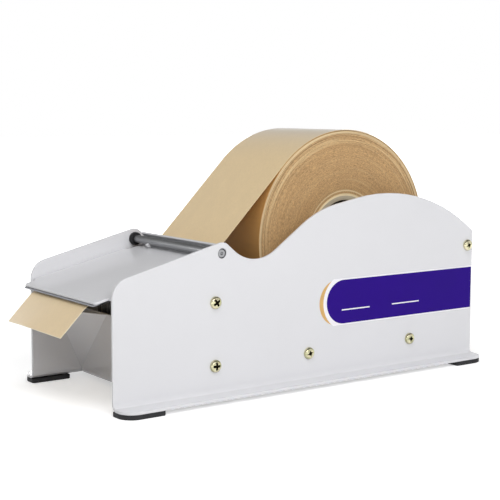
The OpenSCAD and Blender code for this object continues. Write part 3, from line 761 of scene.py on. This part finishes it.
def screw_places(node, head_r):
    """Places (x, z) of a node's screws, from its box: one, two side by side, or two in a stack."""
    low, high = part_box(node)
    across = sorted({round(low.x + head_r, 6), round(high.x - head_r, 6)})
    upright = sorted({round(low.z + head_r, 6), round(high.z - head_r, 6)})
    return [(x, z) for x in across for z in upright]


def screw_points(sizes, steps=96):
    """A pan-head screw about the Y axis, with its head's underside at y = 0 and its head towards -y.

    The profile runs from the middle of the flat dome over its round shoulder to the shank's tip and is
    turned about the axis. The cross recess lowers the dome: its depth is largest in the middle, runs out
    along the arms, and rises through a narrow slope to the dome beside them. Returns the points and, for
    each, the share of that depth.
    """
    head_r, head_h, shank_r = sizes.head_d / 2, sizes.head_h, sizes.shank_d / 2
    dome_r, dome_end = 2.1 * head_r, 0.66 * head_r
    radius = np.linspace(0, dome_end, 36)
    dome = head_h - dome_r + np.sqrt(dome_r**2 - radius**2)
    shoulder = rounded((dome_end, dome[-1]), (head_r, 0.93 * dome[-1]), (head_r, 0), 0.34 * head_r, 10)
    under = rounded((head_r, 0.5 * dome[-1]), (head_r, 0), (shank_r, 0), 0.04 * head_r, 3)
    shank_l, point_l, point_r = 8 * MM, 1.2 * MM, shank_r - 0.7 * MM
    flank, thread_depth = 0.35 * MM, 0.16 * MM  # half of a thread's pitch, and its depth
    turns = np.arange(0, shank_l - point_l, flank)
    thread = np.stack([shank_r - thread_depth * (np.arange(len(turns)) % 2), -turns], -1)
    point = np.array([[point_r, -shank_l], [0, -shank_l]])
    profile = np.concatenate([np.stack([radius, dome], -1), shoulder, under, thread, point])
    points = turned(profile, steps)
    x, z = points[..., 0], points[..., 2]
    long, short = np.maximum(abs(x), abs(z)), np.minimum(abs(x), abs(z))
    outside = np.maximum(short - sizes.recess_w / 2, long - sizes.recess_l / 2)
    slope_w, recess_depth, run_out = 0.3 * MM, 1.9 * MM, 0.7
    share = np.clip(0.5 - outside / slope_w, 0, 1)
    depth = recess_depth * (1 - run_out * np.clip(long / (sizes.recess_l / 2), 0, 1))
    share = np.where(np.arange(len(profile))[:, None] < len(radius), share, 0)
    points[..., 1] -= share * depth
    points[..., 1] *= -1
    return points, share


class DISPENSER_OT_screws(bpy.types.Operator):
    """Makes the pan-head screws with their cross recesses"""

    bl_idname = "dispenser.screws"
    bl_label = "Screws"

    def execute(self, context):
        sizes, colours = context.scene.dispenser_sizes, context.scene.dispenser_colours
        zinc = finished("yellow_zinc_plate", yellow_zinc, colours.zinc[:])
        screw, share = screw_points(sizes)
        uv = np.stack([share, 0 * share], -1)
        twist = math.radians(17)  # half the turn from one screw of a side to the next
        for node in ("cradle_screws", "roller_screws", "tie_bar_screws"):
            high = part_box(node)[1]
            grids = []
            for count, (x, z) in enumerate(screw_places(node, sizes.head_d / 2)):
                for side in (-1, 1):
                    angle = twist * (1 + 2 * count + side)
                    driven = screw @ np.array(Matrix.Rotation(angle, 3, "Y"))
                    grids.append(driven * (1, -side, 1) + (x, side * (high.y - sizes.head_h), z))
            mesh = surface(node, grids, recess=[uv] * len(grids))
            add_piece(f"{node}_dressed", mesh, zinc, "frame", [node])
        return {"FINISHED"}


class DISPENSER_OT_paper_roll(bpy.types.Operator):
    """Makes the wound roll of tape and its core"""

    bl_idname = "dispenser.paper_roll"
    bl_label = "Tape roll"

    def execute(self, context):
        colours = context.scene.dispenser_colours
        axis = AXES["roll_spin"]
        centre = (axis.x, axis.z)
        low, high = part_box("tape_core")
        half, core_r = high.y, (high.z - low.z) / 2
        bore_r = core_r - CORE_WALL * MM
        tints = (colours.kraft_edge[:], colours.shaded_last_turn[:])
        edge = finished("slit_kraft_edge", kraft_edge, *tints, core_r / MM, ROLL_R)
        points = self.roll_points(centre, half, core_r, ROLL_R * MM)
        mesh = surface("tape_roll", points, wound=wound(points, centre))
        add_piece("tape_roll_wound", mesh, edge, "roll", ["tape_roll"])
        corners = [(bore_r, -half), (core_r, -half), (core_r, half), (bore_r, half)]
        worn = 0.5 * MM
        loop = [rounded(corners[i - 1], corners[i], corners[(i + 1) % 4], worn, 5) for i in range(4)]
        profile = np.concatenate([*loop, loop[0][:1]])
        board = colours.board[:]
        board = finished("wound_core_board", core_board, board, bore_r / MM, core_r / MM)
        points = turned(profile, 144, centre)
        mesh = surface("tape_core", points, wound=wound(points, centre))
        add_piece("tape_core_wound", mesh, board, "roll", ["tape_core"])
        return {"FINISHED"}

    def roll_points(self, centre, half, core_r, roll_r, steps=180):
        """The wound roll: a closed profile turned about the roll's axis.

        Each side lies below its plane by a sum of waves in the radius, whose phase grows with the angle, so
        that the ridges form a spiral as the turns of paper do, and by a slow wave in both.
        """
        edge_r = 0.25 * MM
        radius = np.linspace(core_r, roll_r - edge_r, 110)
        rim = rounded((core_r, half), (roll_r, half), (roll_r, 0), edge_r, 3)[1:]
        upper = np.concatenate([np.stack([radius, np.full_like(radius, half)], -1), rim])
        profile = np.concatenate([upper, upper[::-1] * (1, -1), upper[:1]])
        points = turned(profile, steps, centre)
        angle = np.linspace(0, 2 * np.pi, steps + 1)
        r = profile[:, :1] / MM
        ridge = 1.1  # mm from ridge to ridge, for a bundle of turns
        phase = 2 * np.pi * r / ridge + angle
        wave = 0.5 * np.sin(phase) + 0.5 * np.sin(3 * phase + 0.3 * r)
        slow = np.sin(0.42 * r + 1.3) * np.sin(2 * angle + 0.1 * r)
        depth = (0.03 * (1 + wave) + 0.05 * (1 + slow)) * MM
        inside = (r < roll_r / MM - 0.3) & (r > core_r / MM + 0.05)
        points[..., 1] -= np.sign(points[..., 1]) * np.where(inside, depth, 0)
        return points


class DISPENSER_OT_tape(bpy.types.Operator):
    """Makes the tape from its free end, under the cover and over the roll"""

    bl_idname = "dispenser.tape"
    bl_label = "Pulled-out tape"

    def execute(self, context):
        sizes, colours = context.scene.dispenser_sizes, context.scene.dispenser_colours
        upper, lower, uv = self.faces(sizes)
        paper = finished("glazed_kraft_face", kraft_face, colours.kraft[:], TAPE_W / 2)
        mesh = surface("tape_web", closed_sheet(upper, lower) * MM, paper=closed_sheet(uv, uv))
        add_piece("tape_web_paper", mesh, paper, "frame", ["tape_web"])
        return {"FINISHED"}

    def faces(self, sizes, columns=37):
        """The tape's upper and lower face, and the map of both along and across the tape, in millimetres.

        A point of the upper face lies off the path by the thickness along its normal, and one of the lower
        face lies on it. Both are lowered by a curl, with the square of the distance from the middle, and
        moved by a slight wave. Curl and wave fade out behind the free end by the power 1.5 of the way.
        """
        path, normal = tape_path()
        run = np.concatenate([[0], np.cumsum(np.linalg.norm(np.diff(path, axis=0), axis=1))])[:, None]
        across = np.linspace(-TAPE_W / 2, TAPE_W / 2, columns)[None]
        fade_l, wave_h = TAIL_L + 4, 0.12
        free = np.clip(1 - run / fade_l, 0, 1) ** 1.5
        curl = -sizes.tail_curl / MM * free * (2 * across / TAPE_W) ** 2
        wave = wave_h * free * np.sin(across / 9 + run / 14)
        faces = []
        for level in (sizes.web_t / MM, 0):
            height = level + curl + wave
            x, z = (path[:, None, axis] + height * normal[:, None, axis] for axis in (0, 1))
            faces.append(np.stack([x, np.broadcast_to(across, x.shape), z], -1))
        return *faces, np.stack(np.broadcast_arrays(run, across), -1)


class DISPENSER_OT_brush(bpy.types.Operator):
    """Makes the rows of bristles"""

    bl_idname = "dispenser.brush"
    bl_label = "Brush"

    def execute(self, context):
        sizes, colours = context.scene.dispenser_sizes, context.scene.dispenser_colours
        node = "brush_bristles"
        mesh = surface(node, self.hairs(sizes))
        nylon = finished("drawn_nylon_bristle", nylon_bristle, colours.bristle[:])
        add_piece(f"{node}_tufted", mesh, nylon, "frame", [node])
        return {"FINISHED"}

    def hairs(self, sizes):
        """Tapered hairs in tufts.

        A hair is a ring of four points carried up a line that leans outwards a little with height, and
        more so in the tufts at the ends of a row, by the fourth power of the place along it. Its foot lies
        in its tuft's hole, and its tip ends just below the tape.
        """
        low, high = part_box("brush_bristles")
        rows, row_pitch, row_t = 5, 5 * MM, 2.4 * MM
        tuft_pitch, tuft_gap = 3.9 * MM, 1.2 * MM
        tufts = round((high.y - low.y + tuft_gap) / tuft_pitch)
        rng = np.random.default_rng(7)
        shape = (rows, tufts, sizes.hairs)
        x = low.x + row_t / 2 + row_pitch * np.arange(rows)[:, None, None]
        y = low.y + (tuft_pitch - tuft_gap) / 2 + tuft_pitch * np.arange(tufts)[None, :, None]
        spread = np.sqrt(rng.random(shape))
        turn = rng.random(shape) * 2 * np.pi
        hole_x, hole_y = 0.75 * MM, 0.95 * MM  # half the length and half the width of a tuft's hole
        lean_x, lean_y, splay = 0.45 * MM, 0.75 * MM, 6 * MM
        foot_x = x + spread * np.cos(turn) * hole_x
        foot_y = y + spread * np.sin(turn) * hole_y
        tip_x = foot_x + spread * np.cos(turn) * lean_x
        tip_y = foot_y + spread * np.sin(turn) * lean_y
        tip_y += splay * np.sign(foot_y) * (foot_y / high.y) ** 4 * rng.random(shape)
        circles = path_circles()
        angle = touch(circles[1], circles[2])
        rod_x, rod_z, lift = (value * MM for value in circles[2])
        under = rod_z + (lift - (tip_x - rod_x) * math.cos(angle)) / math.sin(angle)
        room, uneven = 0.35 * MM, 1.1 * MM  # below the tape, and between the longest and the shortest hair
        tip_z = under - room - uneven * rng.random(shape)
        foot_z = np.full(shape, low.z)
        share = np.array([0, 0.5, 0.97, 1, 1])
        thick = np.array([1, 0.9, 0.6, 0.3, 0]) * sizes.hair_d / 2
        ring = np.arange(5) * np.pi / 2
        foot = np.stack([foot_x, foot_y, foot_z], -1).reshape(-1, 1, 1, 3)
        tip = np.stack([tip_x, tip_y, tip_z], -1).reshape(-1, 1, 1, 3)
        line = foot + share[:, None, None] * (tip - foot)
        rim = np.stack([np.cos(ring), np.sin(ring), 0 * ring], -1)
        hair = line + thick[:, None, None] * rim
        closed = np.repeat(hair[:, :1].mean(2, keepdims=True), 5, 2)
        return np.concatenate([closed, hair], 1)


class DISPENSER_OT_label(bpy.types.Operator):
    """Makes the printed band on the right side plate, with its outline, its crescent and two rules"""

    bl_idname = "dispenser.label"
    bl_label = "Printed band"

    def execute(self, context):
        sizes, colours = context.scene.dispenser_sizes, context.scene.dispenser_colours
        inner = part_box("right_side_plate")[1]
        sheet_t, margin = 2 * MM, 1.1 * MM
        face, right = inner.y - sheet_t, inner.x - margin
        tip, half, middle = right - sizes.label_l, sizes.label_h / 2, sizes.label_z
        violet = self.band(tip + half, half, half, right, middle)
        white = self.band(tip + 15.7 * MM, 18.6 * MM, half + 0.95 * MM, right, middle)
        tan = self.band(tip + 9.34 * MM, 15.54 * MM, half - 0.15 * MM, tip + 6 * MM, middle)
        layers = [
            ("tan_crescent", colours.tan, tan, 1),
            ("white_outline", colours.white, white, 2),
            ("violet_band", colours.violet, violet, 3),
            ("white_rule_front", colours.white, self.rule(tip, 13.1, 37.9, middle), 4),
            ("white_rule_rear", colours.white, self.rule(tip, 58.6, 84.1, middle), 4),
        ]
        step = sizes.label_t / 3
        for name, ink, area, count in layers:
            mesh = surface(name, closed_sheet(area + (0, face - count * step, 0), area + (0, face, 0)))
            material = finished(f"{name.split('_')[0]}_vinyl_film", printed_film, ink[:])
            add_piece(name, mesh, material, "frame")
        return {"FINISHED"}

    def band(self, centre, radius, half, right, middle, rows=61, columns=41):
        """A band in X and Z with level edges, a square right end and an arc for its left end.

        The height is the half height times the sine of an angle, the left end lies on a circle of that
        centre and radius, and the columns share the way from there to the right end.
        """
        height = half * np.sin(np.linspace(-np.pi / 2, np.pi / 2, rows))[:, None]
        start = centre - np.sqrt(np.maximum(radius**2 - height**2, 0))
        x = start + np.linspace(0, 1, columns) * (right - start)
        return np.stack([x, 0 * x, middle + height + 0 * x], -1)

    def rule(self, tip, start, end, middle):
        """A level line 0.8 mm wide, 5.6 mm below the middle, from start to end in mm behind the tip."""
        x = tip + np.linspace(start, end, 9)[None, :] * MM
        z = middle + (np.linspace(-0.4, 0.4, 3)[:, None] - 5.6) * MM
        x, z = np.broadcast_arrays(x, z)
        return np.stack([x, 0 * x, z], -1)


class DISPENSER_OT_studio(bpy.types.Operator):
    """Makes the floor, the lamps, the world and the camera"""

    bl_idname = "dispenser.studio"
    bl_label = "Studio"

    def execute(self, context):
        colours = context.scene.dispenser_colours
        self.floor(colours.floor[:])
        self.ceiling()
        self.world()
        self.lamps()
        self.camera(context.scene)
        context.scene.view_settings.view_transform = "Standard"
        return {"FINISHED"}

    def floor(self, rgba):
        """A pale sheet that keeps the shadow, and glows white further out to the camera and in gloss."""
        material = new_material("pale_studio_floor")
        place = add_node(material, "TexCoord", output="Object")
        away = add_node(material, "VectorMath", {0: place}, "Value", operation="LENGTH")
        reach = {"Value": away, "From Min": 0.2, "From Max": 0.8, "To Min": 0.45, "To Max": 1.2}
        glow = {0: self.background_rays(material), 1: add_node(material, "MapRange", reach)}
        glow = add_node(material, "Math", glow, operation="MULTIPLY")
        matt = add_node(material, "BsdfDiffuse", {"Color": rgba})
        light = add_node(material, "Emission", {"Color": (1, 1, 1, 1), "Strength": glow})
        both = add_node(material, "AddShader", {0: matt, 1: light})
        add_node(material, "OutputMaterial", {"Surface": both})
        self.sheet("studio_floor", 6.0, 0, material)

    def ceiling(self):
        """A grey card overhead, darker in its middle, that only gloss sees, so metal has dark parts."""
        material = new_material("grey_ceiling_card")
        place = add_node(material, "TexCoord", output="Object")
        away = add_node(material, "VectorMath", {0: place}, "Value", operation="LENGTH")
        middle = {"Value": away, "From Min": 0.8, "From Max": 1.2, "To Min": 0.25, "To Max": 1.0}
        strength = add_node(material, "MapRange", middle)
        grey = add_node(material, "Emission", {"Color": linear("#8C8C8C"), "Strength": strength})
        add_node(material, "OutputMaterial", {"Surface": grey})
        card = self.sheet("ceiling_card", 2.0, 0.7, material)
        card.visible_camera = card.visible_diffuse = card.visible_shadow = False
        card.visible_transmission = card.visible_volume_scatter = False

    def sheet(self, name, half, height, material):
        """A level square of the stage."""
        signs = ((-1, -1), (1, -1), (1, 1), (-1, 1))
        mesh = bpy.data.meshes.new(name)
        mesh.from_pydata([(x * half, y * half, height) for x, y in signs], [], [(0, 1, 2, 3)])
        mesh.materials.append(material)
        sheet = bpy.data.objects.new(name, mesh)
        bpy.context.scene.collection.objects.link(sheet)
        return sheet

    def background_rays(self, material):
        """1 for rays of the camera, of gloss and of glass, which see the background, and 0 for the rest."""
        either = {
            0: add_node(material, "LightPath", output="Is Camera Ray"),
            1: add_node(material, "LightPath", output="Is Glossy Ray"),
        }
        every = {
            0: add_node(material, "Math", either, operation="MAXIMUM"),
            1: add_node(material, "LightPath", output="Is Transmission Ray"),
        }
        return add_node(material, "Math", every, operation="MAXIMUM")

    def world(self):
        """White to the camera and in reflections, and a soft grey light for the rest."""
        world = bpy.data.worlds.new("studio_world")
        bpy.context.scene.world = world
        world.use_nodes = True
        world.node_tree.nodes.clear()
        strength = {"Value": self.background_rays(world), "To Min": 0.25, "To Max": 1.0}
        back = {"Color": (1, 1, 1, 1), "Strength": add_node(world, "MapRange", strength)}
        add_node(world, "OutputWorld", {"Surface": add_node(world, "Background", back)})

    def lamps(self):
        """A broad key from the right, one from the front, and a weak one and a low strip from the left."""
        self.lamp("key_lamp", (-0.24, -1.25, 0.9), (1.0, 1.0), 13.1)
        self.lamp("front_top_lamp", (-0.65, -0.5, 1.35), (0.7, 0.7), 5.6)
        self.lamp("left_lamp", (-0.15, 1.4, 0.6), (0.8, 0.8), 1.6)
        self.lamp("low_left_lamp", (0.05, 1.4, 0.13), (1.2, 0.2), 9)

    def lamp(self, name, place_m, size, watts):
        """A rectangular lamp that faces the middle of the object."""
        data = bpy.data.lights.new(name, "AREA")
        data.shape = "RECTANGLE"
        data.size, data.size_y = size
        data.energy = watts
        lamp = bpy.data.objects.new(name, data)
        bpy.context.scene.collection.objects.link(lamp)
        aim = Vector((0, 0, 0.06)) - Vector(place_m)
        turn = aim.to_track_quat("-Z", "Y").to_matrix().to_4x4()
        lamp.matrix_world = Matrix.Translation(place_m) @ turn

    def camera(self, scene):
        """The photograph's view, from its yaw, pitch and roll in degrees and its place in millimetres."""
        yaw, pitch, roll = (math.radians(a) for a in (53.984, 6.677, 0.2608))
        place = Vector((-485.37, -669.995, 182.342)) * MM
        level = Vector((math.cos(yaw), math.sin(yaw), 0))
        ahead = level * math.cos(pitch) - Vector((0, 0, math.sin(pitch)))
        right = ahead.cross(Vector((0, 0, 1))).normalized()
        up = right.cross(ahead)
        tilted_right = right * math.cos(roll) + up * math.sin(roll)
        tilted_up = up * math.cos(roll) - right * math.sin(roll)
        data = bpy.data.cameras.new("photo_camera")
        data.sensor_width = 36
        data.lens = 87.35
        camera = bpy.data.objects.new("photo_camera", data)
        scene.collection.objects.link(camera)
        turn = Matrix((tilted_right, tilted_up, -ahead)).transposed().to_4x4()
        camera.matrix_world = Matrix.Translation(place) @ turn
        scene.camera = camera


STEPS = (
    DISPENSER_OT_studio,
    DISPENSER_OT_sheet_metal,
    DISPENSER_OT_mouldings,
    DISPENSER_OT_steel,
    DISPENSER_OT_screws,
    DISPENSER_OT_paper_roll,
    DISPENSER_OT_tape,
    DISPENSER_OT_brush,
    DISPENSER_OT_label,
)


class VIEW3D_PT_dispenser(bpy.types.Panel):
    """Lists the steps with their sizes and colours"""

    bl_label = "Gummed Tape Dispenser"
    bl_space_type = "VIEW_3D"
    bl_region_type = "UI"
    bl_category = "Dispenser"

    def draw(self, context):
        for step in STEPS:
            self.layout.operator(step.bl_idname)
        for group in (context.scene.dispenser_sizes, context.scene.dispenser_colours):
            box = self.layout.box()
            for name in group.__annotations__:
                box.prop(group, name)


CLASSES = (DispenserSizes, DispenserColours, *STEPS, VIEW3D_PT_dispenser)


def register():
    for made in CLASSES:
        bpy.utils.register_class(made)
    bpy.types.Scene.dispenser_sizes = PointerProperty(type=DispenserSizes)
    bpy.types.Scene.dispenser_colours = PointerProperty(type=DispenserColours)


def unregister():
    del bpy.types.Scene.dispenser_colours
    del bpy.types.Scene.dispenser_sizes
    for made in reversed(CLASSES):
        bpy.utils.unregister_class(made)


def main():
    register()
    for step in STEPS:
        category, name = step.bl_idname.split(".")
        getattr(getattr(bpy.ops, category), name)()


if __name__ == "__main__":
    main()
